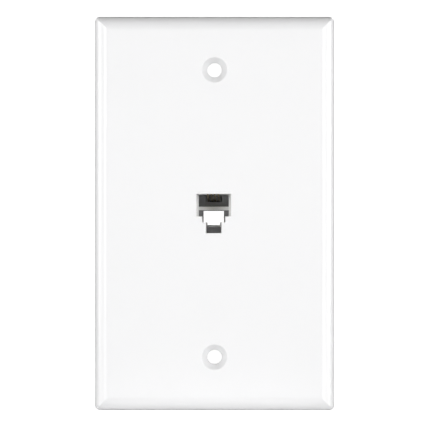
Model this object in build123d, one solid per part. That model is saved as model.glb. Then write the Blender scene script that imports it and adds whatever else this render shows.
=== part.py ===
from build123d import *
import math
import os

# A flush telephone wall socket: a one-gang wall plate with a six-position,
# four-wire modular jack behind it, and four screw terminals for the house cable.
# Frame: origin in the middle of the wall plane, +Z up, front face towards -Y.

# Wall plate
PLATE_WIDTH = 69.5
PLATE_HEIGHT = 114.3
PLATE_DEPTH = 5.6
PLATE_WALL = 2.0
EDGE_ROLL = 4.0
CORNER_RADIUS = 1.4
INNER_CORNER_RADIUS = 0.6
RIB_OFFSET_X = 25.0
RIB_OFFSET_Z = 21.0
RIB_THICKNESS = 1.2
RIB_RISE = 1.8

# Mounting screw holes of the plate
SCREW_SPACING = 83.34
SCREW_HOLE_DIAMETER = 4.05
COUNTERSINK_DIAMETER = 7.3
COUNTERSINK_ANGLE = 82.0
BOSS_DIAMETER = 9.0
BOSS_SETBACK = 0.3

# Socket: wide for the plug's body, then two steps down for its latch. The jack
# sits a little to the left of the plate's middle.
JACK_OFFSET_X = -0.25
SOCKET_WIDTH = 10.0
SOCKET_TOP = 5.66
BODY_STEP_Z = -0.84
LATCH_WIDTH = 6.7
LATCH_STEP_Z = -2.56
TAB_WIDTH = 4.5
SOCKET_BOTTOM = -5.7
SOCKET_EDGE_RADIUS = 0.12
CHANNEL_CLEARANCE = 0.05
PLUG_DEPTH = 12.0
LATCH_CHAMBER_LENGTH = 4.6

# Jack housing
FLANGE_THICKNESS = 1.8
FLANGE_SIDE_EDGE = 1.2
FLANGE_END_EDGE = 0.3
FLANGE_CORNER_RADIUS = 2.0
HOUSING_WALL = 1.3
TOWER_EDGE_RADIUS = 0.6
GUSSET_THICKNESS = 1.2
GUSSET_RUN = 2.6
GUSSET_RISE = 5.0

# Stop frame across the channel, which the plug's nose meets: side members, a roof
# member, and a sloped sill and rail above and below its window
STOP_FRAME_THICKNESS = 0.8
STOP_FRAME_INSETS = (0.68, 0.43, 0.49)
STOP_FRAME_ROOF_INSET = 0.36
SILL_TOP = 1.98
SILL_BOTTOM = 0.92
RAIL_TOP = -3.35
RAIL_BOTTOM = -3.93
BAR_OPENING_WIDTH = 4.13

# Heat stakes that hold the housing to the plate
STAKE_DIAMETER = 2.4
STAKE_CLEARANCE = 0.1
STAKE_HEAD_DIAMETER = 4.0
STAKE_HEAD_HEIGHT = 1.1
STAKE_HEAD_BEVEL = 0.8
STAKE_X = 13.0
STAKE_GAP = 0.2

# Contact carrier
CARRIER_WIDTH = 10.4
CARRIER_TOP = 8.4
CARRIER_BOTTOM = -7.0
CARRIER_THICKNESS = 3.4
CARRIER_CLEARANCE = 0.1
CARRIER_WINDOW_WIDTH = 5.9
CARRIER_WINDOW_TOP = 0.72
CARRIER_WINDOW_BOTTOM = -3.6
FACE_RECESS_WIDTH = 9.2
FACE_RECESS_DEPTH = 0.95
FACE_SLOT_Z = 5.06
COMB_WIDTH = 4.95
COMB_FLOOR_Z = 3.37
COMB_DEPTH = 1.7
COMB_SIDE_GAP = 0.36
COMB_TOOTH_THICKNESS = 0.28
COMB_TOOTH_HEIGHT = 0.62
COMB_TOOTH_LENGTH = 1.4
SNAP_WIDTH = 3.0
SNAP_HEIGHT = 0.9
SNAP_LENGTH = 1.6
SNAP_Z = -3.0

# Tongue of the carrier, which the contact wires wrap round
TONGUE_WIDTH = 6.6
TONGUE_THICKNESS = 1.15
TONGUE_SETBACK = 1.1
TONGUE_ROOF_GAP = 0.29
GROOVE_WIDTH = 0.54
GROOVE_DEPTH = 0.5

# Contact wires
WIRE_DIAMETER = 0.46
WIRE_FLAT_COUNT = 8
WIRE_GAP = 0.02
CONTACT_PITCH = 1.02
CONTACT_COUNT = 4
CONTACT_OFFSET_X = -0.1
CONTACT_LEAN = 1.6
CONTACT_TIP_INSET = 0.6
WIRE_TAIL_INSET = 1.2

# Screw terminals
TERMINAL_X = 15.0
TERMINAL_Z = 7.8
POST_SIZE = 7.6
POST_HEIGHT = 5.4
POST_EDGE_BEVEL = 0.5
TERMINAL_PLATE_SIZE = 7.2
TERMINAL_PLATE_THICKNESS = 0.8
TERMINAL_PLATE_LEG = 2.4
TERMINAL_PLATE_BEND = 0.64
SCREW_SHANK_DIAMETER = 3.4
SCREW_CLEARANCE = 0.08
SCREW_LENGTH = 6.4
SCREW_TIP_BEVEL = 0.4
PILOT_EXTRA_DEPTH = 0.4
SCREW_HEAD_DIAMETER = 6.4
SCREW_HEAD_HEIGHT = 2.0
SCREW_HEAD_BEVEL = 0.6
SCREW_SLOT_WIDTH = 0.9
SCREW_SLOT_DEPTH = 1.0
WASHER_DIAMETER = 6.8
WASHER_BORE = 3.7
WASHER_THICKNESS = 0.6

# Spade lugs and leads
LUG_DIAMETER = 6.2
LUG_SLOT_WIDTH = 3.7
LUG_THICKNESS = 0.5
LUG_NECK_WIDTH = 2.2
LUG_NECK_LAP = 0.5
BARREL_DIAMETER = 1.9
BARREL_LENGTH = 2.0
BARREL_GAP = 0.4
LEAD_DIAMETER = 0.9
LEAD_FLAT_COUNT = 8
LEAD_GRIP = 1.6
LEAD_CLEARANCE = 0.04
LEAD_SIDE_GAP = 0.9
LEAD_BACK_GAP = 2.2
LEAD_ROW_STEP = 1.5
LEAD_BUTT_GAP = 0.01
LEAD_TUCK = 1.2
LEAD_SAG = 0.6
LEAD_ARC_SHARE = 0.45

# Planes along the depth, worked out from the sizes above
FACE_Y = -PLATE_DEPTH
PLATE_INNER_Y = FACE_Y + PLATE_WALL
FLANGE_BACK_Y = PLATE_INNER_Y + FLANGE_THICKNESS
STOP_FRAME_Y = FACE_Y + PLUG_DEPTH
CARRIER_FRONT_Y = STOP_FRAME_Y + STOP_FRAME_THICKNESS
CARRIER_FACE_Y = CARRIER_FRONT_Y + FACE_RECESS_DEPTH
CARRIER_BACK_Y = CARRIER_FRONT_Y + CARRIER_THICKNESS
POST_TOP_Y = FLANGE_BACK_Y + POST_HEIGHT
LUG_Y = POST_TOP_Y + TERMINAL_PLATE_THICKNESS
WASHER_Y = LUG_Y + LUG_THICKNESS
SCREW_HEAD_Y = WASHER_Y + WASHER_THICKNESS

# Levels and widths that follow from them
TONGUE_BOTTOM = SOCKET_TOP + TONGUE_ROOF_GAP
TONGUE_TOP = TONGUE_BOTTOM + TONGUE_THICKNESS
GROOVE_TOP = TONGUE_TOP + GROOVE_DEPTH
WIRE_BEND_RADIUS = TONGUE_THICKNESS / 2 + WIRE_GAP + WIRE_DIAMETER / 2
WIRE_BEND_Y = PLATE_INNER_Y + TONGUE_SETBACK + TONGUE_THICKNESS / 2
WIRE_BEND_Z = (TONGUE_TOP + TONGUE_BOTTOM) / 2
WIRE_TOP_Z = WIRE_BEND_Z + WIRE_BEND_RADIUS
WIRE_TAIL_Y = CARRIER_BACK_Y - WIRE_TAIL_INSET
WIRE_TIP_Y = CARRIER_FACE_Y + COMB_DEPTH - CONTACT_TIP_INSET
WIRE_TIP_Z = COMB_FLOOR_Z + WIRE_GAP * 2 + WIRE_DIAMETER / 2
WIRE_MIDDLE_Y = (WIRE_BEND_Y + WIRE_TIP_Y) / 2
POCKET_HALF_WIDTH = CARRIER_WIDTH / 2 + CARRIER_CLEARANCE
TOWER_HALF_WIDTH = POCKET_HALF_WIDTH + HOUSING_WALL
TOWER_TOP = CARRIER_TOP + CARRIER_CLEARANCE + HOUSING_WALL
TOWER_BOTTOM = CARRIER_BOTTOM - CARRIER_CLEARANCE - HOUSING_WALL
STAKE_Z = max(TOWER_TOP, -TOWER_BOTTOM) + STAKE_HEAD_DIAMETER / 2 + STAKE_GAP
FLANGE_HEIGHT = 2 * (STAKE_Z + STAKE_HEAD_DIAMETER / 2 + FLANGE_END_EDGE)
FLANGE_WIDTH = 2 * (TERMINAL_X + POST_SIZE / 2 + FLANGE_SIDE_EDGE)
BARREL_Y = LUG_Y + BARREL_DIAMETER / 2
BARREL_INNER_X = TERMINAL_X - LUG_DIAMETER / 2 - BARREL_GAP - BARREL_LENGTH
LEAD_SIDE_X = TOWER_HALF_WIDTH + LEAD_SIDE_GAP
LEAD_BACK_Y = CARRIER_BACK_Y + LEAD_BACK_GAP
CUT_MARGIN = 1.0
EDGE_TOLERANCE = 0.01

# Terminals by lead colour: side, level, contact place and angle of the screw's slot
TERMINALS = {
    "black": (-1, 1, 0, 20.0),
    "red": (-1, -1, 1, 78.0),
    "green": (1, -1, 2, -35.0),
    "yellow": (1, 1, 3, 52.0),
}


def block(x0, x1, y0, y1, z0, z1):
    """A rectangular block between two corners."""
    middle = ((x0 + x1) / 2, (y0 + y1) / 2, (z0 + z1) / 2)
    return Pos(*middle) * Box(x1 - x0, y1 - y0, z1 - z0)


def disc(x, z, y0, y1, diameter):
    """A round bar along the depth, between two planes."""
    return Pos(x, (y0 + y1) / 2, z) * Rot(90, 0, 0) * Cylinder(diameter / 2, y1 - y0)


def rolled_section(span, depth, roll):
    """Section across a moulded tray: flat front, quarter-round edges, straight sides."""
    section = Pos(0, -depth / 2) * Rectangle(span, depth)
    return fillet(section.vertices().group_by(Axis.Y)[0], roll)


def rolled_tray(width, height, depth, roll, corner):
    """A slab whose front edge is rolled all round, with mitres and small plan corners."""
    upright = extrude(rolled_section(width, depth, roll), height / 2, both=True)
    across = Rot(0, 90, 0) * extrude(rolled_section(height, depth, roll), width / 2, both=True)
    slab = upright & across
    edge_section = Pos(corner - width / 2, 0) * rolled_section(width, depth, roll)
    post_section = edge_section & (Pos(corner / 2, -depth / 2) * Rectangle(corner, depth))
    post = revolve(post_section, Axis.Y, 360)
    for side in (-1, 1):
        for level in (-1, 1):
            x = side * (width / 2 - corner)
            z = level * (height / 2 - corner)
            reach = corner + CUT_MARGIN
            square = block(0, reach, -depth - CUT_MARGIN, CUT_MARGIN, 0, reach)
            turn = {(1, 1): 0, (1, -1): 90, (-1, -1): 180, (-1, 1): 270}[(side, level)]
            slab -= Pos(x, 0, z) * (Rot(0, turn, 0) * square - post)
    return slab


def plug_channel(y0, y1, gap, insets=(0, 0, 0), roof_inset=0):
    """The plug's stepped outline as a solid: its body, its latch and the latch's tab.

    The gap goes all round, and each step's sides and the roof may be drawn in from it.
    """
    steps = (
        (SOCKET_WIDTH, BODY_STEP_Z),
        (LATCH_WIDTH, LATCH_STEP_Z),
        (TAB_WIDTH, SOCKET_BOTTOM),
    )
    channel = Part()
    roof = SOCKET_TOP + gap - roof_inset
    for (width, bottom), inset in zip(steps, insets):
        half = width / 2 + gap - inset
        channel += block(-half, half, y0, y1, bottom - gap, roof)
    return channel


def sloped_member(width, bottom, top):
    """A cross member of the stop frame, whose face slopes back from its lower edge."""
    section = Polygon((STOP_FRAME_Y, bottom), (CARRIER_FRONT_Y, top), (CARRIER_FRONT_Y, bottom),
                      align=None)
    return extrude(Plane.YZ * section, width / 2, both=True)


def stake_places():
    """Where the plate's four heat stakes go through the housing's flange, from its middle."""
    return ((-STAKE_X, 0), (STAKE_X, 0), (0, -STAKE_Z), (0, STAKE_Z))


def contact_places():
    """Places of the contact wires across the jack, from left to right."""
    first = CONTACT_OFFSET_X - CONTACT_PITCH * (CONTACT_COUNT - 1) / 2
    return [first + CONTACT_PITCH * index for index in range(CONTACT_COUNT)]


def contact_frame(x):
    """The frame of one contact wire, which leans a little to the right towards its tip."""
    return Pos(x, WIRE_MIDDLE_Y, 0) * Rot(0, 0, -CONTACT_LEAN) * Pos(0, -WIRE_MIDDLE_Y, 0)


def make_wall_plate():
    """The moulded front plate: rolled edge, hollow back, ribs, bosses and heat stakes."""
    outer = rolled_tray(PLATE_WIDTH, PLATE_HEIGHT, PLATE_DEPTH, EDGE_ROLL, CORNER_RADIUS)
    inner_width = PLATE_WIDTH - 2 * PLATE_WALL
    inner_height = PLATE_HEIGHT - 2 * PLATE_WALL
    inner_depth = PLATE_DEPTH - PLATE_WALL
    inner = rolled_tray(inner_width, inner_height, inner_depth, EDGE_ROLL - PLATE_WALL,
                        INNER_CORNER_RADIUS)
    plate = outer - inner
    rib_back = PLATE_INNER_Y + RIB_RISE
    half_rib = RIB_THICKNESS / 2
    for side in (-1, 1):
        x = side * RIB_OFFSET_X
        z = side * RIB_OFFSET_Z
        upright = block(x - half_rib, x + half_rib, PLATE_INNER_Y, rib_back,
                        -inner_height / 2, inner_height / 2)
        across = block(-RIB_OFFSET_X, RIB_OFFSET_X, PLATE_INNER_Y, rib_back,
                       z - half_rib, z + half_rib)
        plate += (upright & inner) + across
    for x, z in stake_places():
        x += JACK_OFFSET_X
        head_y = FLANGE_BACK_Y
        shaft = disc(x, z, PLATE_INNER_Y, head_y, STAKE_DIAMETER)
        head = disc(x, z, head_y, head_y + STAKE_HEAD_HEIGHT, STAKE_HEAD_DIAMETER)
        head = chamfer(head.edges().group_by(Axis.Y)[-1], STAKE_HEAD_BEVEL)
        plate += shaft + head
    sink_depth = (COUNTERSINK_DIAMETER - SCREW_HOLE_DIAMETER) / 2
    sink_depth /= math.tan(math.radians(COUNTERSINK_ANGLE / 2))
    for level in (-1, 1):
        z = level * SCREW_SPACING / 2
        plate += disc(0, z, PLATE_INNER_Y, -BOSS_SETBACK, BOSS_DIAMETER)
        plate -= disc(0, z, FACE_Y - CUT_MARGIN, CUT_MARGIN, SCREW_HOLE_DIAMETER)
        sink = Cone(SCREW_HOLE_DIAMETER / 2, COUNTERSINK_DIAMETER / 2, sink_depth)
        plate -= Pos(0, FACE_Y + sink_depth / 2, z) * Rot(90, 0, 0) * sink
    opening = plug_channel(FACE_Y - CUT_MARGIN, PLATE_INNER_Y + CUT_MARGIN, 0)
    plate -= Pos(JACK_OFFSET_X, 0, 0) * opening
    rim = [edge for edge in plate.edges()
           if abs(edge.center().Y - FACE_Y) < EDGE_TOLERANCE
           and abs(edge.center().X - JACK_OFFSET_X) < SOCKET_WIDTH / 2 + EDGE_TOLERANCE
           and abs(edge.center().Z) < max(SOCKET_TOP, -SOCKET_BOTTOM) + EDGE_TOLERANCE
           and edge.bounding_box().size.Y < EDGE_TOLERANCE]
    return fillet(rim, SOCKET_EDGE_RADIUS)


def make_jack_housing():
    """The white block behind the plate: plug channel, latch chamber and terminal posts."""
    flange = block(-FLANGE_WIDTH / 2, FLANGE_WIDTH / 2, PLATE_INNER_Y, FLANGE_BACK_Y,
                   -FLANGE_HEIGHT / 2, FLANGE_HEIGHT / 2)
    flange = fillet(flange.edges().filter_by(Axis.Y), FLANGE_CORNER_RADIUS)
    tower = block(-TOWER_HALF_WIDTH, TOWER_HALF_WIDTH, PLATE_INNER_Y, CARRIER_BACK_Y,
                  TOWER_BOTTOM, TOWER_TOP)
    tower = fillet(tower.edges().filter_by(Axis.Y), TOWER_EDGE_RADIUS)
    housing = flange + tower
    for side, level, _, _ in TERMINALS.values():
        x = side * TERMINAL_X
        z = level * TERMINAL_Z
        half = POST_SIZE / 2
        post = block(x - half, x + half, FLANGE_BACK_Y, POST_TOP_Y, z - half, z + half)
        housing += chamfer(post.edges().filter_by(Axis.Y), POST_EDGE_BEVEL)
        pilot = SCREW_SHANK_DIAMETER + 2 * SCREW_CLEARANCE
        pilot_end = SCREW_HEAD_Y - SCREW_LENGTH - PILOT_EXTRA_DEPTH
        housing -= disc(x, z, pilot_end, POST_TOP_Y + CUT_MARGIN, pilot)
    for side in (-1, 1):
        root = side * TOWER_HALF_WIDTH
        foot = Polygon((root, FLANGE_BACK_Y), (root + side * GUSSET_RUN, FLANGE_BACK_Y),
                       (root, FLANGE_BACK_Y + GUSSET_RISE), align=None)
        housing += extrude(foot, GUSSET_THICKNESS / 2, both=True)
    housing -= plug_channel(PLATE_INNER_Y - CUT_MARGIN, STOP_FRAME_Y, CHANNEL_CLEARANCE)
    half_latch = LATCH_WIDTH / 2 + CHANNEL_CLEARANCE
    housing -= block(-half_latch, half_latch, PLATE_INNER_Y - CUT_MARGIN,
                     PLATE_INNER_Y + LATCH_CHAMBER_LENGTH,
                     SOCKET_BOTTOM - CHANNEL_CLEARANCE, BODY_STEP_Z)
    frame_front = STOP_FRAME_Y - CUT_MARGIN
    frame_back = CARRIER_FRONT_Y + CUT_MARGIN
    housing -= plug_channel(frame_front, frame_back, CHANNEL_CLEARANCE, STOP_FRAME_INSETS,
                            STOP_FRAME_ROOF_INSET)
    half_bar = BAR_OPENING_WIDTH / 2
    housing -= block(-half_bar, half_bar, frame_front, frame_back,
                     SOCKET_BOTTOM - CHANNEL_CLEARANCE, RAIL_BOTTOM)
    housing += sloped_member(SOCKET_WIDTH, SILL_BOTTOM, SILL_TOP)
    housing += sloped_member(TAB_WIDTH, RAIL_BOTTOM, RAIL_TOP)
    half_tongue = TONGUE_WIDTH / 2 + CARRIER_CLEARANCE
    housing -= block(-half_tongue, half_tongue, PLATE_INNER_Y - CUT_MARGIN, STOP_FRAME_Y,
                     0, GROOVE_TOP + CARRIER_CLEARANCE)
    housing -= block(-half_tongue, half_tongue, frame_front, frame_back,
                     TONGUE_BOTTOM - CARRIER_CLEARANCE, GROOVE_TOP + CARRIER_CLEARANCE)
    housing -= block(-POCKET_HALF_WIDTH, POCKET_HALF_WIDTH, CARRIER_FRONT_Y,
                     CARRIER_BACK_Y + CUT_MARGIN, CARRIER_BOTTOM - CARRIER_CLEARANCE,
                     CARRIER_TOP + CARRIER_CLEARANCE)
    half_snap = SNAP_WIDTH / 2 + CARRIER_CLEARANCE
    snap_middle = (CARRIER_FRONT_Y + CARRIER_BACK_Y) / 2
    snap_reach = SNAP_LENGTH / 2 + CARRIER_CLEARANCE
    housing -= block(-TOWER_HALF_WIDTH - CUT_MARGIN, TOWER_HALF_WIDTH + CUT_MARGIN,
                     snap_middle - snap_reach, snap_middle + snap_reach,
                     SNAP_Z - half_snap, SNAP_Z + half_snap)
    for x, z in stake_places():
        bore = STAKE_DIAMETER + 2 * STAKE_CLEARANCE
        housing -= disc(x, z, PLATE_INNER_Y - CUT_MARGIN, FLANGE_BACK_Y + CUT_MARGIN, bore)
    return housing


def make_contact_carrier():
    """The dark insert at the back of the jack, with the tongue and comb for the wires."""
    half = CARRIER_WIDTH / 2
    carrier = block(-half, half, CARRIER_FRONT_Y, CARRIER_BACK_Y, CARRIER_BOTTOM, CARRIER_TOP)
    half_recess = FACE_RECESS_WIDTH / 2
    carrier_cut = CARRIER_FRONT_Y - CUT_MARGIN
    carrier -= block(-half_recess, half_recess, carrier_cut, CARRIER_FACE_Y, SILL_TOP,
                     TONGUE_BOTTOM)
    half_window = CARRIER_WINDOW_WIDTH / 2
    carrier -= block(-half_window, half_window, carrier_cut, CARRIER_BACK_Y + CUT_MARGIN,
                     CARRIER_WINDOW_BOTTOM, CARRIER_WINDOW_TOP)
    tip_shift = (WIRE_TIP_Y - WIRE_MIDDLE_Y) * math.tan(math.radians(CONTACT_LEAN))
    comb_middle = CONTACT_OFFSET_X + tip_shift
    half_comb = COMB_WIDTH / 2
    comb_back = CARRIER_FACE_Y + COMB_DEPTH
    carrier -= block(-half_recess, half_recess, carrier_cut, comb_back, FACE_SLOT_Z,
                     TONGUE_BOTTOM)
    carrier -= block(comb_middle - half_comb, comb_middle + half_comb,
                     CARRIER_FACE_Y - CUT_MARGIN, comb_back, COMB_FLOOR_Z, TONGUE_BOTTOM)
    half_tooth = COMB_TOOTH_THICKNESS / 2
    for left, right in zip(contact_places(), contact_places()[1:]):
        x = (left + right) / 2 + tip_shift
        carrier += block(x - half_tooth, x + half_tooth, comb_back - COMB_TOOTH_LENGTH,
                         comb_back, COMB_FLOOR_Z, COMB_FLOOR_Z + COMB_TOOTH_HEIGHT)
    for side in (-1, 1):
        x = comb_middle + side * (half_comb - COMB_SIDE_GAP - half_tooth)
        carrier += block(x - half_tooth, x + half_tooth, CARRIER_FACE_Y, comb_back,
                         COMB_FLOOR_Z, FACE_SLOT_Z)
    nose = Polyline((CARRIER_FRONT_Y, TONGUE_BOTTOM), (WIRE_BEND_Y, TONGUE_BOTTOM))
    bow = ThreePointArc((WIRE_BEND_Y, TONGUE_BOTTOM),
                        (WIRE_BEND_Y - TONGUE_THICKNESS / 2, WIRE_BEND_Z),
                        (WIRE_BEND_Y, TONGUE_TOP))
    back = Polyline((WIRE_BEND_Y, TONGUE_TOP), (WIRE_BEND_Y, GROOVE_TOP),
                    (CARRIER_FRONT_Y, GROOVE_TOP), (CARRIER_FRONT_Y, TONGUE_BOTTOM))
    tongue = extrude(Plane.YZ * make_face([*nose.edges(), bow, *back.edges()]),
                     TONGUE_WIDTH / 2, both=True)
    carrier += tongue
    half_groove = GROOVE_WIDTH / 2
    for x in contact_places():
        groove = block(-half_groove, half_groove, WIRE_BEND_Y - CUT_MARGIN, WIRE_TAIL_Y,
                       TONGUE_TOP, GROOVE_TOP)
        carrier -= contact_frame(x) * groove
    tail_shift = (WIRE_TAIL_Y - WIRE_MIDDLE_Y) * math.tan(math.radians(CONTACT_LEAN))
    row_half = CONTACT_PITCH * (CONTACT_COUNT - 1) / 2 + LEAD_DIAMETER / 2 + LEAD_CLEARANCE
    row_middle = CONTACT_OFFSET_X + tail_shift
    lead_half = LEAD_DIAMETER / 2 + LEAD_CLEARANCE
    carrier -= block(row_middle - row_half, row_middle + row_half, WIRE_TAIL_Y,
                     CARRIER_BACK_Y + CUT_MARGIN, WIRE_TOP_Z - lead_half,
                     WIRE_TOP_Z + lead_half)
    snap_middle = (CARRIER_FRONT_Y + CARRIER_BACK_Y) / 2
    for side in (-1, 1):
        root = side * half
        wedge = Polygon((root, snap_middle - SNAP_LENGTH / 2),
                        (root + side * SNAP_HEIGHT, snap_middle + SNAP_LENGTH / 2),
                        (root, snap_middle + SNAP_LENGTH / 2), align=None)
        carrier += Pos(0, 0, SNAP_Z) * extrude(wedge, SNAP_WIDTH / 2, both=True)
    return carrier


def make_contact_wire(x):
    """One spring wire: along the tongue, round its nose and back down into the comb."""
    run_y = WIRE_TIP_Y - WIRE_BEND_Y
    drop = WIRE_BEND_Z - WIRE_TIP_Z
    slope = math.atan2(drop, run_y) - math.asin(WIRE_BEND_RADIUS / math.hypot(run_y, drop))

    def on_bend(angle):
        return (WIRE_BEND_Y + WIRE_BEND_RADIUS * math.cos(angle),
                WIRE_BEND_Z + WIRE_BEND_RADIUS * math.sin(angle))

    bend_end = math.radians(270) - slope
    tail = Line((WIRE_TAIL_Y, WIRE_TOP_Z), on_bend(math.radians(90)))
    bend_middle = (math.radians(90) + bend_end) / 2
    bend = ThreePointArc(tail @ 1, on_bend(bend_middle), on_bend(bend_end))
    leg = Line(bend @ 1, (WIRE_TIP_Y, WIRE_TIP_Z))
    path = Plane.YZ * Wire([tail, bend, leg])
    section = Plane(path @ 0, z_dir=path % 0) * RegularPolygon(WIRE_DIAMETER / 2, WIRE_FLAT_COUNT)
    return contact_frame(x) * sweep(section, path=path)


def make_lead(side, level, x):
    """One insulated lead, from the tail of its contact wire to the barrel of its lug."""
    tail_shift = (WIRE_TAIL_Y - WIRE_MIDDLE_Y) * math.tan(math.radians(CONTACT_LEAN))
    start_x = x + tail_shift
    side_x = side * LEAD_SIDE_X
    end_x = side * (BARREL_INNER_X + LEAD_GRIP)
    end_z = level * TERMINAL_Z
    start = (start_x, WIRE_TAIL_Y + LEAD_BUTT_GAP, WIRE_TOP_Z)
    if level > 0:
        middle = [
            (start_x, LEAD_BACK_Y, WIRE_TOP_Z),
            (side_x, LEAD_BACK_Y, WIRE_TOP_Z),
        ]
    else:
        row_y = LEAD_BACK_Y + LEAD_ROW_STEP
        middle = [
            (start_x, row_y, WIRE_TOP_Z),
            (side * (LEAD_SIDE_X - LEAD_TUCK), row_y, WIRE_TOP_Z - LEAD_SAG),
            (side_x, CARRIER_BACK_Y - LEAD_TUCK, 0),
        ]
    route = [start, *middle, (side_x, BARREL_Y, end_z), (end_x, BARREL_Y, end_z)]
    points = [Vector(*point) for point in route]
    radii = []
    for before, corner, after in zip(points, points[1:], points[2:]):
        turn = math.radians((corner - before).get_angle(after - corner))
        shorter = min((corner - before).length, (after - corner).length)
        radii.append(LEAD_ARC_SHARE * shorter / math.tan(turn / 2))
    print("lead radii", [round(radius, 2) for radius in radii])
    path = FilletPolyline(*points, radius=radii)
    section = Plane(path @ 0, z_dir=path % 0) * RegularPolygon(LEAD_DIAMETER / 2, LEAD_FLAT_COUNT)
    lead = sweep(section, path=path)
    expected = section.area * path.length
    print("lead volume", round(lead.volume, 3), "expected", round(expected, 3))
    return lead


def make_terminal_plate():
    """A brass plate on top of a post, with one leg turned down on its outer side."""
    half = TERMINAL_PLATE_SIZE / 2
    plate = block(-half, POST_SIZE / 2 + TERMINAL_PLATE_THICKNESS, POST_TOP_Y, LUG_Y,
                  -half, half)
    plate += block(POST_SIZE / 2, POST_SIZE / 2 + TERMINAL_PLATE_THICKNESS,
                   POST_TOP_Y - TERMINAL_PLATE_LEG, LUG_Y, -half, half)
    outer = plate.edges().filter_by(Axis.Z).group_by(Axis.X)[-1].group_by(Axis.Y)[-1]
    plate = fillet(outer, TERMINAL_PLATE_BEND)
    bore = SCREW_SHANK_DIAMETER + 2 * SCREW_CLEARANCE
    return plate - disc(0, 0, POST_TOP_Y - CUT_MARGIN, LUG_Y + CUT_MARGIN, bore)


def make_spade_lug():
    """A crimped spade lug: fork round the screw, and a barrel that points inwards."""
    barrel_start = BARREL_INNER_X - TERMINAL_X
    barrel_end = barrel_start + BARREL_LENGTH
    half_neck = LUG_NECK_WIDTH / 2
    lug = disc(0, 0, LUG_Y, WASHER_Y, LUG_DIAMETER)
    lug += block(barrel_end - LUG_NECK_LAP, 0, LUG_Y, WASHER_Y, -half_neck, half_neck)
    lug -= disc(0, 0, LUG_Y - CUT_MARGIN, WASHER_Y + CUT_MARGIN, LUG_SLOT_WIDTH)
    lug -= block(0, LUG_DIAMETER, LUG_Y - CUT_MARGIN, WASHER_Y + CUT_MARGIN,
                 -LUG_SLOT_WIDTH / 2, LUG_SLOT_WIDTH / 2)
    barrel_place = Pos((barrel_start + barrel_end) / 2, BARREL_Y, 0) * Rot(0, 90, 0)
    lug += barrel_place * Cylinder(BARREL_DIAMETER / 2, BARREL_LENGTH)
    bore = LEAD_DIAMETER / 2 + LEAD_CLEARANCE
    return lug - barrel_place * Cylinder(bore, BARREL_LENGTH)


def make_washer():
    """A flat washer under the head of a terminal screw."""
    washer = disc(0, 0, WASHER_Y, SCREW_HEAD_Y, WASHER_DIAMETER)
    return washer - disc(0, 0, WASHER_Y - CUT_MARGIN, SCREW_HEAD_Y + CUT_MARGIN, WASHER_BORE)


def make_terminal_screw(slot_angle):
    """A slotted binding-head screw."""
    head_top = SCREW_HEAD_Y + SCREW_HEAD_HEIGHT
    head = disc(0, 0, SCREW_HEAD_Y, head_top, SCREW_HEAD_DIAMETER)
    head = chamfer(head.edges().group_by(Axis.Y)[-1], SCREW_HEAD_BEVEL)
    shank = disc(0, 0, SCREW_HEAD_Y - SCREW_LENGTH, SCREW_HEAD_Y, SCREW_SHANK_DIAMETER)
    shank = chamfer(shank.edges().group_by(Axis.Y)[0], SCREW_TIP_BEVEL)
    slot = block(-SCREW_HEAD_DIAMETER, SCREW_HEAD_DIAMETER, head_top - SCREW_SLOT_DEPTH,
                 head_top + CUT_MARGIN, -SCREW_SLOT_WIDTH / 2, SCREW_SLOT_WIDTH / 2)
    return head + shank - Rot(0, slot_angle, 0) * slot


def make_parts():
    """Every node of the assembly by name."""
    jack = Pos(JACK_OFFSET_X, 0, 0)
    parts = {
        "wall_plate": make_wall_plate(),
        "jack_housing": jack * make_jack_housing(),
        "contact_carrier": jack * make_contact_carrier(),
    }
    for index, x in enumerate(contact_places()):
        parts[f"contact_wire_{index + 1}"] = jack * make_contact_wire(x)
    for colour, (side, level, contact, slot_angle) in TERMINALS.items():
        facing = 0 if side > 0 else 180
        place = jack * Pos(side * TERMINAL_X, 0, level * TERMINAL_Z) * Rot(0, facing, 0)
        parts[f"lead_{colour}"] = jack * make_lead(side, level, contact_places()[contact])
        parts[f"terminal_plate_{colour}"] = place * make_terminal_plate()
        parts[f"spade_lug_{colour}"] = place * make_spade_lug()
        parts[f"washer_{colour}"] = place * make_washer()
        parts[f"terminal_screw_{colour}"] = place * make_terminal_screw(slot_angle)
    return parts


os.makedirs("parts", exist_ok=True)
for name, part in make_parts().items():
    export_step(part, f"parts/{name}.step")
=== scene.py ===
import math

import bmesh
import bpy
from mathutils import Matrix, Vector


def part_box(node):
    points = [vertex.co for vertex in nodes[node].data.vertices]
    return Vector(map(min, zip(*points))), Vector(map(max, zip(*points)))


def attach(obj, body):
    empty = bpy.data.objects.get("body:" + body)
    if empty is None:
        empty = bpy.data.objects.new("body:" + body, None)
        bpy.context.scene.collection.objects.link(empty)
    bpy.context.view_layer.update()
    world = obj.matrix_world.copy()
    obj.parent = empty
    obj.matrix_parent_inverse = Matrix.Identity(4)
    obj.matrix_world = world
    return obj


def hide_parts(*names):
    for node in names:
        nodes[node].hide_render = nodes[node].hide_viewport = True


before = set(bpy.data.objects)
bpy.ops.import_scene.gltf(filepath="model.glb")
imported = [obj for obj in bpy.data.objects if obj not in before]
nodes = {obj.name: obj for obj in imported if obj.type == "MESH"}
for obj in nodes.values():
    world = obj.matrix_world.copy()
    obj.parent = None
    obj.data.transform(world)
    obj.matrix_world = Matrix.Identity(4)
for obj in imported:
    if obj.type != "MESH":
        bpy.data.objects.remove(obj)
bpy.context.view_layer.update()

# The whole socket as the frame gives it, measured before anything is added.
MM = 0.001
plate_low, plate_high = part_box("wall_plate")
face_y = plate_low.y
bpy.ops.object.select_all(action="DESELECT")

# Camera. A long lens looks straight at the front of the plate, level with
# its middle, so the sides of the socket hardly show.
LENS_DISTANCE = 1.7
VIEW_WIDTH = 124.7 * MM
AIM_X = 0.12 * MM
AIM_Z = -0.44 * MM
SENSOR_WIDTH = 36.0

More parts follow.
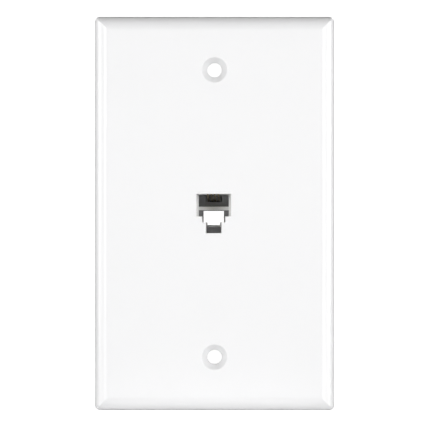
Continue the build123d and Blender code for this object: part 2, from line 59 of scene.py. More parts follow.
bpy.ops.object.camera_add(location=(AIM_X, face_y - LENS_DISTANCE, AIM_Z),
                          rotation=(math.radians(90), 0, 0))
camera = bpy.context.object
camera.name = "view_camera"
camera.data.sensor_width = SENSOR_WIDTH
camera.data.lens = SENSOR_WIDTH * LENS_DISTANCE / VIEW_WIDTH
camera.data.clip_start = 0.05
camera.data.clip_end = 20.0
scene = bpy.context.scene
scene.camera = camera
scene.view_settings.view_transform = "Standard"


# Studio. A pale floor under the plate's lower edge and a plain white sweep
# behind it, with soft boxes ahead of the plate, at both its sides and behind.
# Some lamps reach below the floor, which doesn't cut off their light.
FLOOR_SIZE = 1.8
FLOOR_GLOW = 0.85
SWEEP_SIZE = 6.0
SWEEP_DISTANCE = 2.6
SWEEP_GLOW = 1.0
CARD_SHADE = 0.86
AIR_LIGHT = 0.0
SOFT_BOXES = (
    # name, azimuth and elevation in degrees, distance, width and height in
    # metres, power in watts, whether gloss shows it
    ("front_low_box", 0, 0.3, 2.0, 0.5, 0.14, 1.35, True),
    ("front_high_box", 0, 6, 2.0, 0.5, 0.4, 1.5, False),
    ("upper_box", 0, 45, 2.0, 0.5, 0.4, 6.25, False),
    ("right_near_box", 30, 0, 1.3, 0.3, 0.55, 5.4, True),
    ("left_near_box", -30, 0, 1.3, 0.3, 0.55, 4.9, True),
    ("right_box", 62, 0, 1.1, 0.35, 0.55, 1.98, True),
    ("left_box", -62, 0, 1.1, 0.35, 0.55, 1.35, True),
    ("right_side_box", 85, 0, 1.1, 0.5, 0.55, 4.3, True),
    ("left_side_box", -85, 0, 1.1, 0.5, 0.55, 4.4, True),
    ("back_right_box", 150, 25, 2.0, 0.5, 0.4, 4.0, True),
    ("back_left_box", -150, 25, 2.0, 0.5, 0.4, 4.0, True),
)


def seen_directly(tree, rays):
    """1 for what the camera sees, itself or by the rays named, and 0 for other rays."""
    path = tree.nodes.new("ShaderNodeLightPath")
    seen = path.outputs["Is Camera Ray"]
    for ray in rays:
        either = tree.nodes.new("ShaderNodeMath")
        either.operation = "MAXIMUM"
        tree.links.new(seen, either.inputs[0])
        tree.links.new(path.outputs[ray], either.inputs[1])
        seen = either.outputs[0]
    return seen


def pale_card(name, glow):
    """Matt white card that the camera, also through glass, sees brighter than it is lit."""
    material = bpy.data.materials.new(name)
    material.use_nodes = True
    tree = material.node_tree
    shader = tree.nodes["Principled BSDF"]
    shader.inputs["Base Color"].default_value = (CARD_SHADE, CARD_SHADE, CARD_SHADE, 1)
    shader.inputs["Roughness"].default_value = 0.9
    shader.inputs["Specular IOR Level"].default_value = 0.0
    shader.inputs["Emission Color"].default_value = (1, 1, 1, 1)
    strength = tree.nodes.new("ShaderNodeMath")
    strength.operation = "MULTIPLY"
    strength.inputs[1].default_value = glow
    tree.links.new(seen_directly(tree, ["Is Transmission Ray"]), strength.inputs[0])
    tree.links.new(strength.outputs[0], shader.inputs["Emission Strength"])
    return material


def soft_box(name, azimuth, elevation, distance, width, height, power, in_gloss):
    """A rectangular lamp that faces the plate's middle, at angles from straight ahead of it."""
    turn = math.radians(azimuth)
    rise = math.radians(elevation)
    place = distance * Vector((math.sin(turn) * math.cos(rise), -math.cos(turn) * math.cos(rise),
                               math.sin(rise)))
    bpy.ops.object.light_add(type="AREA", location=place)
    lamp = bpy.context.object
    lamp.name = name
    lamp.data.shape = "RECTANGLE"
    lamp.data.size = width
    lamp.data.size_y = height
    lamp.data.energy = power
    lamp.rotation_euler = (-place).to_track_quat("-Z", "Y").to_euler()
    lamp.visible_glossy = in_gloss


bpy.ops.mesh.primitive_plane_add(size=FLOOR_SIZE, location=(0, 0, plate_low.z))
floor = bpy.context.object
floor.name = "studio_floor"
floor.data.materials.append(pale_card("floor_card", FLOOR_GLOW))
floor.visible_shadow = False
bpy.ops.mesh.primitive_plane_add(size=SWEEP_SIZE, rotation=(math.radians(90), 0, 0),
                                 location=(0, SWEEP_DISTANCE, 0))
sweep = bpy.context.object
sweep.name = "studio_sweep"
sweep.data.materials.append(pale_card("sweep_card", SWEEP_GLOW))
for box in SOFT_BOXES:
    soft_box(*box)

world = bpy.data.worlds.new("studio_air")
scene.world = world
world.use_nodes = True
air = world.node_tree
backing = air.nodes["Background"]
backing.inputs["Color"].default_value = (1, 1, 1, 1)
air_mix = air.nodes.new("ShaderNodeMapRange")
air_mix.inputs["To Min"].default_value = AIR_LIGHT
air_mix.inputs["To Max"].default_value = 1.0
seen = seen_directly(air, ["Is Glossy Ray", "Is Transmission Ray"])
air.links.new(seen, air_mix.inputs["Value"])
air.links.new(air_mix.outputs["Result"], backing.inputs["Strength"])


# Wall plate. One injection moulding in gloss white plastic, with a rolled
# edge and a hollow back; it is screwed to the wall box through two holes.
PLATE_WHITE = (0.84, 0.84, 0.845)
PLASTIC_GLOSS_SPREAD = 0.1
PLATE_WALL = 2.0 * MM
EDGE_ROLL = 4.0 * MM
CORNER_RADIUS = 1.4 * MM
INNER_CORNER_RADIUS = 0.6 * MM
CORNER_STEPS = 6
ROLL_STEPS = 26
ROUND_STEPS = 64
FLAT_BORDER = 0.1 * MM
CUT_MARGIN = 1.0 * MM
MERGE_DISTANCE = 0.001 * MM
NEAR = 0.01 * MM
FORM_ANGLE = math.radians(20)
RIB_OFFSET_X = 25.0 * MM
RIB_OFFSET_Z = 21.0 * MM
RIB_THICKNESS = 1.2 * MM
RIB_RISE = 1.8 * MM
RIB_EDGE = 0.25 * MM
WALL_BITE = 0.2 * MM  # how far a rib runs on inside the wall
SCREW_SPACING = 83.34 * MM
SCREW_HOLE_DIAMETER = 4.05 * MM
COUNTERSINK_DIAMETER = 7.3 * MM
COUNTERSINK_ANGLE = math.radians(82)
SINK_OVERRUN = 0.3 * MM  # how far the cone runs on inside the hole
BOSS_DIAMETER = 9.0 * MM
BOSS_SETBACK = 0.3 * MM
BOSS_EDGE = 0.3 * MM
STAKE_DIAMETER = 2.4 * MM
STAKE_HEAD_DIAMETER = 4.0 * MM
STAKE_HEAD_HEIGHT = 1.1 * MM
STAKE_HEAD_ROUND = 0.95 * MM
STAKE_X = 13.0 * MM
STAKE_Z = 12.0 * MM
FLANGE_THICKNESS = 1.8 * MM
JACK_OFFSET_X = -0.25 * MM
SOCKET_WIDTH = 10.0 * MM
SOCKET_TOP = 5.66 * MM
BODY_STEP_Z = -0.84 * MM
LATCH_WIDTH = 6.7 * MM
LATCH_STEP_Z = -2.56 * MM
TAB_WIDTH = 4.5 * MM
SOCKET_BOTTOM = -5.7 * MM
SOCKET_EDGE = 0.12 * MM
HOLE_EDGE = 0.15 * MM
inner_y = face_y + PLATE_WALL
flange_back_y = inner_y + FLANGE_THICKNESS


def select_by_place(obj, faces=None, edges=None):
    """In edit mode, selects the faces or the edges that a test picks, and nothing else."""
    bpy.ops.mesh.select_all(action="DESELECT")
    shape = bmesh.from_edit_mesh(obj.data)
    if faces:
        bpy.ops.mesh.select_mode(type="FACE")
        for face in shape.faces:
            face.select_set(faces(face))
    if edges:
        bpy.ops.mesh.select_mode(type="EDGE")
        for edge in shape.edges:
            edge.select_set(edges(edge))
    bmesh.update_edit_mesh(obj.data)


def edge_lies(edge, test):
    """Whether both ends of an edge pass a test."""
    return all(test(corner.co) for corner in edge.verts)


def roll_in(roll, first, last, rings):
    """Insets the selected face ring by ring, from one angle of a quarter roll to another."""
    for ring in range(rings):
        before = first + (last - first) * ring / rings
        after = first + (last - first) * (ring + 1) / rings
        bpy.ops.mesh.inset(thickness=roll * (math.cos(before) - math.cos(after)),
                           depth=roll * (math.sin(after) - math.sin(before)))


def rolled_tray(name, width, height, back, front, roll, corner):
    """A slab along the depth, whose front edge is rolled all round and whose corners are small."""
    bpy.ops.mesh.primitive_plane_add(size=1, rotation=(math.radians(90), 0, 0),
                                     location=(0, back, 0))
    tray = bpy.context.object
    tray.name = name
    tray.scale = (width, height, 1)
    bpy.ops.object.transform_apply(location=True, rotation=True, scale=True)
    bpy.ops.object.mode_set(mode="EDIT")
    bpy.ops.mesh.select_all(action="SELECT")
    bpy.ops.mesh.bevel(affect="VERTICES", offset=corner, segments=CORNER_STEPS)
    bpy.ops.mesh.select_all(action="SELECT")
    straight = front + roll - back
    bpy.ops.mesh.extrude_region_move(TRANSFORM_OT_translate={"value": (0, straight, 0)})
    corner_inset = corner * math.cos(math.radians(45) / CORNER_STEPS)
    corner_turn = math.acos(1 - corner_inset / roll)
    corner_rings = round(ROLL_STEPS * corner_turn / math.radians(90))
    roll_in(roll, 0, corner_turn, corner_rings)
    shape = bmesh.from_edit_mesh(tray.data)
    for point in [point for point in shape.verts if point.select]:
        point.co.x = math.copysign(width / 2 - corner_inset, point.co.x)
        point.co.z = math.copysign(height / 2 - corner_inset, point.co.z)
    bmesh.update_edit_mesh(tray.data)
    bpy.ops.mesh.remove_doubles(threshold=MERGE_DISTANCE)
    level = front + roll * (1 - math.sin(corner_turn)) + NEAR
    select_by_place(tray, faces=lambda face: face.calc_center_median().y < level)
    roll_in(roll, corner_turn, math.radians(90), ROLL_STEPS - corner_rings)
    bpy.ops.mesh.inset(thickness=FLAT_BORDER, depth=0)
    bpy.ops.mesh.select_all(action="SELECT")
    bpy.ops.mesh.normals_make_consistent(inside=False)
    bpy.ops.object.mode_set(mode="OBJECT")
    return tray


def block(name, low, high):
    """A rectangular block between two corners."""
    middle = [(a + b) / 2 for a, b in zip(low, high)]
    bpy.ops.mesh.primitive_cube_add(size=1, location=middle)
    shape = bpy.context.object
    shape.name = name
    shape.scale = [b - a for a, b in zip(low, high)]
    bpy.ops.object.transform_apply(location=True, rotation=True, scale=True)
    return shape


def round_bar(name, x, z, y0, y1, front_diameter, back_diameter):
    """A round or tapered bar along the depth, from y0 to y1."""
    bpy.ops.mesh.primitive_cone_add(vertices=ROUND_STEPS, radius1=front_diameter / 2,
                                    radius2=back_diameter / 2, depth=y1 - y0,
                                    rotation=(math.radians(-90), 0, 0),
                                    location=(x, (y0 + y1) / 2, z))
    shape = bpy.context.object
    shape.name = name
    bpy.ops.object.transform_apply(location=True, rotation=True, scale=True)
    return shape


def round_off(obj, edges, width, steps):
    """Rounds the edges that a test picks."""
    bpy.context.view_layer.objects.active = obj
    bpy.ops.object.mode_set(mode="EDIT")
    select_by_place(obj, edges=edges)
    bpy.ops.mesh.bevel(offset=width, segments=steps)
    bpy.ops.object.mode_set(mode="OBJECT")


def combine(body, tool, operation):
    """Joins a tool shape to a body, or cuts it out, and removes the tool."""
    step = body.modifiers.new("combine", "BOOLEAN")
    step.operation = operation
    step.solver = "EXACT"
    step.object = tool
    bpy.context.view_layer.objects.active = body
    bpy.ops.object.modifier_apply(modifier=step.name)
    bpy.data.objects.remove(tool)


def smooth_faces(obj, angle):
    """Smooth shading, with normals that follow the large flat faces."""
    bpy.ops.object.select_all(action="DESELECT")
    obj.select_set(True)
    bpy.context.view_layer.objects.active = obj
    bpy.ops.object.shade_smooth_by_angle(angle=math.radians(angle))
    weigh = obj.modifiers.new("weigh", "WEIGHTED_NORMAL")
    weigh.keep_sharp = True
    bpy.ops.object.modifier_apply(modifier=weigh.name)
    obj.select_set(False)


width = plate_high.x - plate_low.x
height = plate_high.z - plate_low.z
plate = rolled_tray("wall_plate_moulding", width, height, 0, face_y, EDGE_ROLL, CORNER_RADIUS)
hollow = rolled_tray("plate_hollow", width - 2 * PLATE_WALL, height - 2 * PLATE_WALL, CUT_MARGIN,
                     inner_y, EDGE_ROLL - PLATE_WALL, INNER_CORNER_RADIUS)
combine(plate, hollow, "DIFFERENCE")
rib_end_z = height / 2 - PLATE_WALL + WALL_BITE
for side in (-1, 1):
    x = side * RIB_OFFSET_X
    z = side * RIB_OFFSET_Z
    rib_front = inner_y - WALL_BITE
    upright = block("plate_rib", (x - RIB_THICKNESS / 2, rib_front, -rib_end_z),
                    (x + RIB_THICKNESS / 2, inner_y + RIB_RISE, rib_end_z))
    round_off(upright, lambda edge: edge_lies(edge, lambda co: co.y > inner_y), RIB_EDGE, steps=3)
    combine(plate, upright, "UNION")
    across = block("plate_rib", (-RIB_OFFSET_X, rib_front, z - RIB_THICKNESS / 2),
                   (RIB_OFFSET_X, inner_y + RIB_RISE, z + RIB_THICKNESS / 2))
    round_off(across, lambda edge: edge_lies(edge, lambda co: co.y > inner_y), RIB_EDGE, steps=3)
    combine(plate, across, "UNION")
for x, z in ((-STAKE_X, 0), (STAKE_X, 0), (0, -STAKE_Z), (0, STAKE_Z)):
    x += JACK_OFFSET_X
    shaft = round_bar("plate_stake", x, z, inner_y - PLATE_WALL / 2,
                      flange_back_y + STAKE_HEAD_HEIGHT / 2, STAKE_DIAMETER, STAKE_DIAMETER)
    combine(plate, shaft, "UNION")
    stake_end = flange_back_y + STAKE_HEAD_HEIGHT
    head = round_bar("plate_stake", x, z, flange_back_y, stake_end, STAKE_HEAD_DIAMETER,
                     STAKE_HEAD_DIAMETER)
    round_off(head, lambda edge: edge_lies(edge, lambda co: co.y > stake_end - NEAR),
              STAKE_HEAD_ROUND, steps=8)
    combine(plate, head, "UNION")
sink_depth = (COUNTERSINK_DIAMETER - SCREW_HOLE_DIAMETER) / 2 / math.tan(COUNTERSINK_ANGLE / 2)
sink_slope = (COUNTERSINK_DIAMETER - SCREW_HOLE_DIAMETER) / sink_depth
for z in (-SCREW_SPACING / 2, SCREW_SPACING / 2):
    boss = round_bar("plate_boss", 0, z, inner_y - PLATE_WALL / 2, -BOSS_SETBACK, BOSS_DIAMETER,
                     BOSS_DIAMETER)
    round_off(boss, lambda edge: edge_lies(edge, lambda co: co.y > -BOSS_SETBACK - NEAR),
              BOSS_EDGE, steps=4)
    combine(plate, boss, "UNION")
    hole = round_bar("plate_hole", 0, z, face_y - CUT_MARGIN, CUT_MARGIN, SCREW_HOLE_DIAMETER,
                     SCREW_HOLE_DIAMETER)
    combine(plate, hole, "DIFFERENCE")
    mouth = COUNTERSINK_DIAMETER + sink_slope * CUT_MARGIN
    sink = round_bar("plate_hole", 0, z, face_y - CUT_MARGIN, face_y + sink_depth + SINK_OVERRUN,
                     mouth, SCREW_HOLE_DIAMETER - sink_slope * SINK_OVERRUN)
    combine(plate, sink, "DIFFERENCE")
for step_width, low, high in ((SOCKET_WIDTH, BODY_STEP_Z, SOCKET_TOP),
                              (LATCH_WIDTH, LATCH_STEP_Z, 0),
                              (TAB_WIDTH, SOCKET_BOTTOM, 0)):
    opening = block("plate_opening",
                    (JACK_OFFSET_X - step_width / 2, face_y - CUT_MARGIN, low),
                    (JACK_OFFSET_X + step_width / 2, inner_y + CUT_MARGIN, high))
    combine(plate, opening, "DIFFERENCE")


def on_face(co):
    """Whether a corner lies on the plate's front face."""
    return co.y < face_y + MERGE_DISTANCE


def on_socket_rim(co):
    """Whether a corner lies on the front rim of the socket opening."""
    return on_face(co) and (abs(co.x) < SOCKET_WIDTH and abs(co.z) < SOCKET_WIDTH)


def on_sink_rim(co):
    """Whether a corner lies on the front rim of a countersink."""
    from_hole = math.hypot(co.x, abs(co.z) - SCREW_SPACING / 2)
    return on_face(co) and abs(from_hole - COUNTERSINK_DIAMETER / 2) < 2 * NEAR


def on_mitre(co):
    """Whether a point lies on one of the mitre lines of the rolled edge's front part."""
    from_side = width / 2 - abs(co.x)
    return co.y < face_y + EDGE_ROLL / 2 and abs(from_side - height / 2 + abs(co.z)) < NEAR


def turns_in(edge):
    """Whether the two faces at an edge meet at an angle, so that it is an edge of the form."""
    return len(edge.link_faces) == 2 and edge.calc_face_angle() > FORM_ANGLE


bpy.context.view_layer.objects.active = plate
bpy.ops.object.mode_set(mode="EDIT")
bpy.ops.mesh.select_all(action="SELECT")
bpy.ops.mesh.remove_doubles(threshold=MERGE_DISTANCE)
bpy.ops.mesh.normals_make_consistent(inside=False)
bpy.ops.object.mode_set(mode="OBJECT")
round_off(plate, lambda edge: turns_in(edge) and edge_lies(edge, on_socket_rim), SOCKET_EDGE,
          steps=3)
round_off(plate, lambda edge: turns_in(edge) and edge_lies(edge, on_sink_rim), HOLE_EDGE,
          steps=3)
bpy.ops.object.mode_set(mode="EDIT")
select_by_place(plate, edges=lambda edge: edge_lies(edge, on_mitre))
bpy.ops.mesh.mark_sharp()
bpy.ops.object.mode_set(mode="OBJECT")
smooth_faces(plate, angle=30)


def moulded_plastic(name, colour, roughness, grain, depth, clouding):
    """Moulded plastic: a faint flow grain in the surface and slight clouding of its colour."""
    material = bpy.data.materials.new(name)
    material.use_nodes = True
    tree = material.node_tree
    shader = tree.nodes["Principled BSDF"]
    shader.inputs["IOR"].default_value = 1.49
    place = tree.nodes.new("ShaderNodeTexCoord")
    cloud = tree.nodes.new("ShaderNodeTexNoise")
    cloud.inputs["Scale"].default_value = 60.0
    cloud.inputs["Detail"].default_value = 3.0
    tree.links.new(place.outputs["Object"], cloud.inputs["Vector"])
    tint = tree.nodes.new("ShaderNodeMix")
    tint.data_type = "RGBA"
    tint.inputs["A"].default_value = (*[value * (1 - clouding) for value in colour], 1)
    tint.inputs["B"].default_value = (*[min(1, value * (1 + clouding)) for value in colour], 1)
    tree.links.new(cloud.outputs["Fac"], tint.inputs["Factor"])
    tree.links.new(tint.outputs["Result"], shader.inputs["Base Color"])
    fine = tree.nodes.new("ShaderNodeTexNoise")
    fine.inputs["Scale"].default_value = 1 / grain
    fine.inputs["Detail"].default_value = 2.0
    tree.links.new(place.outputs["Object"], fine.inputs["Vector"])
    gloss = tree.nodes.new("ShaderNodeMapRange")
    gloss.inputs["To Min"].default_value = roughness * (1 - PLASTIC_GLOSS_SPREAD)
    gloss.inputs["To Max"].default_value = roughness * (1 + PLASTIC_GLOSS_SPREAD)
    tree.links.new(fine.outputs["Fac"], gloss.inputs["Value"])
    tree.links.new(gloss.outputs["Result"], shader.inputs["Roughness"])
    bump = tree.nodes.new("ShaderNodeBump")
    bump.inputs["Strength"].default_value = 1.0
    bump.inputs["Distance"].default_value = depth
    tree.links.new(fine.outputs["Fac"], bump.inputs["Height"])
    tree.links.new(bump.outputs["Normal"], shader.inputs["Normal"])
    return material


plate.data.materials.append(
    moulded_plastic("plate_gloss_white", PLATE_WHITE, roughness=0.25, grain=1.2 * MM,
                    depth=0.003 * MM, clouding=0.004))
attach(plate, "root")
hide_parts("wall_plate")

# Jack housing. A second moulding in white plastic, held to the back of the
# plate by the four melted stakes; its rims and outer corners are rounded.
HOUSING_WHITE = (0.95, 0.95, 0.945)
HOUSING_EDGE = 0.25 * MM
CAVITY_MARGIN = 1.0 * MM
FLAT_ANGLE = math.radians(0.5)
jack_cavity_x = SOCKET_WIDTH / 2 + CAVITY_MARGIN


def merged_copy(name, node):
    """A copy of a frame node's mesh as one closed skin of whole faces."""
    piece = nodes[node].copy()
    piece.data = nodes[node].data.copy()
    piece.name = name
    bpy.context.collection.objects.link(piece)
    bpy.context.view_layer.objects.active = piece
    bpy.ops.object.mode_set(mode="EDIT")
    bpy.ops.mesh.select_all(action="SELECT")
    bpy.ops.mesh.remove_doubles(threshold=MERGE_DISTANCE)
    bpy.ops.mesh.dissolve_limited(angle_limit=FLAT_ANGLE)
    bpy.ops.object.mode_set(mode="OBJECT")
    return piece


def dress(piece, node, material):
    """Lets a piece stand for a frame node, with its finish."""
    piece.data.materials.clear()
    piece.data.materials.append(material)
    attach(piece, "root")
    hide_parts(node)


def outside_jack(edge):
    """Whether an edge of the housing lies clear of the plug's way in."""
    return not edge_lies(edge, lambda co: abs(co.x - JACK_OFFSET_X) < jack_cavity_x)


housing = merged_copy("jack_housing_moulding", "jack_housing")
round_off(housing, lambda edge: turns_in(edge) and outside_jack(edge)
          and edge_lies(edge, lambda co: co.y > inner_y + HOUSING_EDGE), HOUSING_EDGE, steps=3)
smooth_faces(housing, angle=30)
dress(housing, "jack_housing",
      moulded_plastic("housing_satin_white", HOUSING_WHITE, roughness=0.4, grain=0.8 * MM,
                      depth=0.006 * MM, clouding=0.006))

# Contact carrier. A dark grey glass-filled insert, pushed into the housing
# from behind; its face, comb and lower bar show inside the socket. The deep
# slots narrow towards the back, as the blades of the mould leave them.
CARRIER_GREY = (0.13, 0.13, 0.132)
FACE_HALF_WIDTH = 4.4 * MM
CARRIER_BACK_Y = 10.6 * MM
COMB_BACK_Y = 9.85 * MM
COMB_FLOOR_Z = 3.37 * MM
COMB_MIDDLE_X = -0.194 * MM
COMB_HALF_WIDTH = 2.475 * MM
COMB_SIDE_GAP = 0.36 * MM
FACE_TOP_Z = 5.06 * MM
FACE_GAP = 0.45 * MM
BLADE_LEAD_IN = 0.05 * MM
BLADE_END_Y = 10.5 * MM
BLADE_TAPER = 0.04  # the share of a blade's width left at its end


def drawn_block(name, low, high, squeeze):
    """A block whose back end is drawn in, as the blades that mould deep slots are."""
    blade = block(name, low, high)
    bpy.ops.object.mode_set(mode="EDIT")
    select_by_place(blade, faces=lambda face: face.calc_center_median().y > high[1] - NEAR)
    bpy.ops.transform.resize(value=squeeze)
    bpy.ops.object.mode_set(mode="OBJECT")
    return blade


carrier = merged_copy("contact_carrier_insert", "contact_carrier")
slot_low = (JACK_OFFSET_X - FACE_HALF_WIDTH, COMB_BACK_Y - BLADE_LEAD_IN, FACE_TOP_Z)
slot_high = (JACK_OFFSET_X + FACE_HALF_WIDTH, BLADE_END_Y, FACE_TOP_Z + FACE_GAP)
combine(carrier, drawn_block("slot_blade", slot_low, slot_high, (1, 1, BLADE_TAPER)), "DIFFERENCE")
for side in (-1, 1):
    outer = COMB_MIDDLE_X + side * COMB_HALF_WIDTH
    inner = outer - side * COMB_SIDE_GAP
    gap_low = (min(outer, inner), COMB_BACK_Y - BLADE_LEAD_IN, COMB_FLOOR_Z)
    gap_high = (max(outer, inner), BLADE_END_Y, FACE_TOP_Z)
    combine(carrier, drawn_block("slot_blade", gap_low, gap_high, (BLADE_TAPER, 1, 1)),
            "DIFFERENCE")
smooth_faces(carrier, angle=20)
dress(carrier, "contact_carrier",
      moulded_plastic("carrier_dark_grey", CARRIER_GREY, roughness=0.3, grain=0.4 * MM,
                      depth=0.01 * MM, clouding=0.06))


# Contact wires. Four springs of gold-plated bronze wire: each lies along the
# carrier's tongue, turns round its nose and runs back down into the comb.
CONTACT_GOLD = (0.83, 0.7, 0.42)
METAL_DARK_SHARE = 0.88
METAL_GLOSS_SPREAD = 0.25
WIRE_DIAMETER = 0.46 * MM
WIRE_SIDES = 16
WIRE_TIP_ROUND = 0.12 * MM
CONTACT_COUNT = 4
CONTACT_PITCH = 1.02 * MM
CONTACT_OFFSET_X = -0.1 * MM
CONTACT_LEAN = math.radians(1.6)
WIRE_BEND = Vector((0, -1.925, 6.525)) * MM
WIRE_BEND_RADIUS = 0.825 * MM
WIRE_TAIL_Y = 9.4 * MM
WIRE_TIP = Vector((0, 9.25, 3.64)) * MM
BEND_STEPS = 24


def plain_metal(name, colour, roughness, grain, streak):
    """Bare or plated metal with fine drawing or stamping marks."""
    material = bpy.data.materials.new(name)
    material.use_nodes = True
    tree = material.node_tree
    shader = tree.nodes["Principled BSDF"]
    shader.inputs["Metallic"].default_value = 1.0
    place = tree.nodes.new("ShaderNodeTexCoord")
    stretch = tree.nodes.new("ShaderNodeMapping")
    stretch.inputs["Scale"].default_value = streak
    tree.links.new(place.outputs["Object"], stretch.inputs["Vector"])
    marks = tree.nodes.new("ShaderNodeTexNoise")
    marks.inputs["Scale"].default_value = 1 / grain
    marks.inputs["Detail"].default_value = 4.0
    tree.links.new(stretch.outputs["Vector"], marks.inputs["Vector"])
    tint = tree.nodes.new("ShaderNodeMix")
    tint.data_type = "RGBA"
    tint.inputs["A"].default_value = (*[value * METAL_DARK_SHARE for value in colour], 1)
    tint.inputs["B"].default_value = (*colour, 1)
    tree.links.new(marks.outputs["Fac"], tint.inputs["Factor"])
    tree.links.new(tint.outputs["Result"], shader.inputs["Base Color"])
    gloss = tree.nodes.new("ShaderNodeMapRange")
    gloss.inputs["To Min"].default_value = roughness * (1 - METAL_GLOSS_SPREAD)
    gloss.inputs["To Max"].default_value = roughness * (1 + METAL_GLOSS_SPREAD)
    tree.links.new(marks.outputs["Fac"], gloss.inputs["Value"])
    tree.links.new(gloss.outputs["Result"], shader.inputs["Roughness"])
    return material


contact_gold = plain_metal("contact_gold", CONTACT_GOLD, roughness=0.25, grain=0.3 * MM,
                           streak=(1, 0.1, 0.1))
drop = WIRE_BEND.z - WIRE_TIP.z
run = WIRE_TIP.y - WIRE_BEND.y
leg_slope = math.atan2(drop, run) - math.asin(WIRE_BEND_RADIUS / math.hypot(run, drop))
leg_length = math.sqrt(run ** 2 + drop ** 2 - WIRE_BEND_RADIUS ** 2)
wire_middle_y = (WIRE_BEND.y + WIRE_TIP.y) / 2


def spring_wire(name, x):
    """One spring wire, grown from a disc at its tail."""
    top_z = WIRE_BEND.z + WIRE_BEND_RADIUS
    bpy.ops.mesh.primitive_circle_add(vertices=WIRE_SIDES, radius=WIRE_DIAMETER / 2,
                                      fill_type="NGON", rotation=(math.radians(90), 0, 0),
                                      location=(0, WIRE_TAIL_Y, top_z))
    wire = bpy.context.object
    wire.name = name
    bpy.ops.object.transform_apply(location=True, rotation=True, scale=True)
    bpy.ops.object.mode_set(mode="EDIT")
    bpy.ops.mesh.select_all(action="SELECT")
    bpy.ops.mesh.extrude_region_move(
        TRANSFORM_OT_translate={"value": (0, WIRE_BEND.y - WIRE_TAIL_Y, 0)})
    bpy.ops.mesh.spin(steps=BEND_STEPS, angle=math.pi - leg_slope, center=WIRE_BEND,
                      axis=(1, 0, 0))
    leg = Vector((0, math.cos(leg_slope), -math.sin(leg_slope))) * leg_length
    bpy.ops.mesh.extrude_region_move(TRANSFORM_OT_translate={"value": leg})
    bpy.ops.mesh.bevel(offset=WIRE_TIP_ROUND, segments=3)
    bpy.ops.mesh.select_all(action="SELECT")
    bpy.ops.mesh.remove_doubles(threshold=MERGE_DISTANCE)
    bpy.ops.mesh.normals_make_consistent(inside=False)
    bpy.ops.object.mode_set(mode="OBJECT")
    wire.location = (x, wire_middle_y, 0)
    wire.rotation_euler = (0, 0, -CONTACT_LEAN)
    wire.data.transform(Matrix.Translation((0, -wire_middle_y, 0)))
    bpy.ops.object.transform_apply(location=True, rotation=True, scale=True)
    smooth_faces(wire, angle=50)
    return wire


first_contact = JACK_OFFSET_X + CONTACT_OFFSET_X - CONTACT_PITCH * (CONTACT_COUNT - 1) / 2
contact_x = [first_contact + CONTACT_PITCH * index for index in range(CONTACT_COUNT)]
first_spring = spring_wire("contact_spring_1", first_contact)
springs = [first_spring]
for x in contact_x[1:]:
    spring = first_spring.copy()
    spring.data = first_spring.data.copy()
    spring.name = f"contact_spring_{len(springs) + 1}"
    spring.data.transform(Matrix.Translation((x - first_contact, 0, 0)))
    bpy.context.collection.objects.link(spring)
    springs.append(spring)
for number, spring in enumerate(springs, 1):
    dress(spring, f"contact_wire_{number}", contact_gold)


# Leads. Thin insulated wires in the four usual colours, each from the tail
# of its contact wire, round the housing, to the lug of its own terminal.
LEAD_COLOURS = {
    "black": (0.015, 0.015, 0.016),
    "red": (0.5, 0.02, 0.02),
    "green": (0.01, 0.2, 0.05),
    "yellow": (0.8, 0.55, 0.02),
}
# The side and the level of each lead's terminal, and the index of its contact.
LEAD_ENDS = {"black": (-1, 1, 0), "red": (-1, -1, 1), "green": (1, -1, 2), "yellow": (1, 1, 3)}
LEAD_DIAMETER = 0.9 * MM
LEAD_SIDE_X = 7.5 * MM
LEAD_BACK_Y = 12.8 * MM
LEAD_ROW_STEP = 1.5 * MM
LEAD_BUTT_GAP = 0.01 * MM  # between a lead and its contact
LEAD_TUCK = 1.2 * MM
LEAD_SAG = 0.6 * MM
BARREL_Y = 5.35 * MM
LEAD_END_X = 11.1 * MM
TERMINAL_Z = 7.8 * MM


def lead_route(side, level, x):
    """The points of a lead's route, from its contact wire to its lug."""
    tail_x = x - JACK_OFFSET_X + (WIRE_TAIL_Y - wire_middle_y) * math.tan(CONTACT_LEAN)
    top_z = WIRE_BEND.z + WIRE_BEND_RADIUS
    side_x = side * LEAD_SIDE_X
    if level > 0:
        middle = [(tail_x, LEAD_BACK_Y, top_z), (side_x, LEAD_BACK_Y, top_z)]
    else:
        row_y = LEAD_BACK_Y + LEAD_ROW_STEP
        middle = [(tail_x, row_y, top_z),
                  (side * (LEAD_SIDE_X - LEAD_TUCK), row_y, top_z - LEAD_SAG),
                  (side_x, CARRIER_BACK_Y - LEAD_TUCK, 0)]
    end_z = level * TERMINAL_Z
    return [(tail_x, WIRE_TAIL_Y + LEAD_BUTT_GAP, top_z), *middle, (side_x, BARREL_Y, end_z),
            (side * LEAD_END_X, BARREL_Y, end_z)]


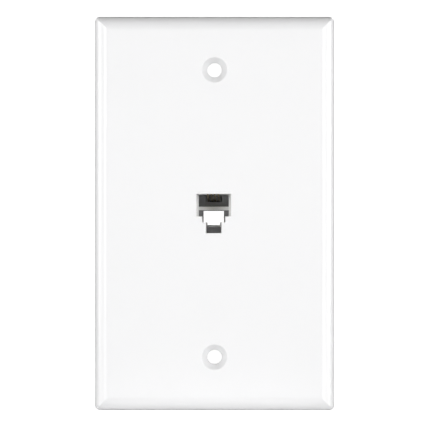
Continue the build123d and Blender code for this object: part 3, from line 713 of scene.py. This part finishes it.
def round_lead(name, route):
    """A round insulated wire along a smooth line through a route's points."""
    line = bpy.data.curves.new(name, "CURVE")
    line.dimensions = "3D"
    line.bevel_depth = LEAD_DIAMETER / 2
    line.bevel_resolution = 4
    line.resolution_u = 12
    line.use_fill_caps = True
    spline = line.splines.new("NURBS")
    spline.points.add(len(route) - 1)
    for point, place in zip(spline.points, route):
        point.co = (place[0] + JACK_OFFSET_X, place[1], place[2], 1)
    spline.order_u = 3
    spline.use_endpoint_u = True
    lead = bpy.data.objects.new(name, line)
    bpy.context.collection.objects.link(lead)
    bpy.ops.object.select_all(action="DESELECT")
    lead.select_set(True)
    bpy.context.view_layer.objects.active = lead
    bpy.ops.object.convert(target="MESH")
    lead = bpy.context.object
    bpy.ops.object.mode_set(mode="EDIT")
    bpy.ops.mesh.select_all(action="SELECT")
    bpy.ops.mesh.remove_doubles(threshold=MERGE_DISTANCE)
    bpy.ops.mesh.normals_make_consistent(inside=False)
    bpy.ops.object.mode_set(mode="OBJECT")
    smooth_faces(lead, angle=50)
    return lead


for colour, (side, level, contact) in LEAD_ENDS.items():
    lead = round_lead(f"insulated_lead_{colour}", lead_route(side, level, contact_x[contact]))
    dress(lead, f"lead_{colour}",
          moulded_plastic(f"insulation_{colour}", LEAD_COLOURS[colour], roughness=0.35,
                          grain=0.5 * MM, depth=0.01 * MM, clouding=0.05))

# Terminals. Brass plates on the posts, tinned spade lugs, and zinc-plated
# washers and slotted screws that clamp them; stamped edges are slightly rounded.
BRASS = (0.76, 0.58, 0.3)
TIN = (0.72, 0.71, 0.69)
ZINC = (0.7, 0.72, 0.75)
STAMPED_EDGE = 0.08 * MM
stamped_brass = plain_metal("stamped_brass", BRASS, roughness=0.3, grain=0.4 * MM,
                            streak=(1, 1, 0.15))
tinned_copper = plain_metal("tinned_copper", TIN, roughness=0.35, grain=0.3 * MM,
                            streak=(0.3, 1, 1))
zinc_plate = plain_metal("zinc_plate", ZINC, roughness=0.28, grain=0.5 * MM, streak=(1, 1, 1))
SMALL_PARTS = (
    ("terminal_plate", "stamping", "terminal_brass", stamped_brass),
    ("spade_lug", "crimping", "lug_tin", tinned_copper),
    ("washer", "stamping", "screw_zinc", zinc_plate),
    ("terminal_screw", "turning", "screw_zinc", zinc_plate),
)
for colour in LEAD_COLOURS:
    for kind, making, material_slot, material in SMALL_PARTS:
        node = f"{kind}_{colour}"
        piece = merged_copy(f"{kind}_{making}_{colour}", node)
        round_off(piece, turns_in, STAMPED_EDGE, steps=2)
        smooth_faces(piece, angle=30)
        dress(piece, node, material)
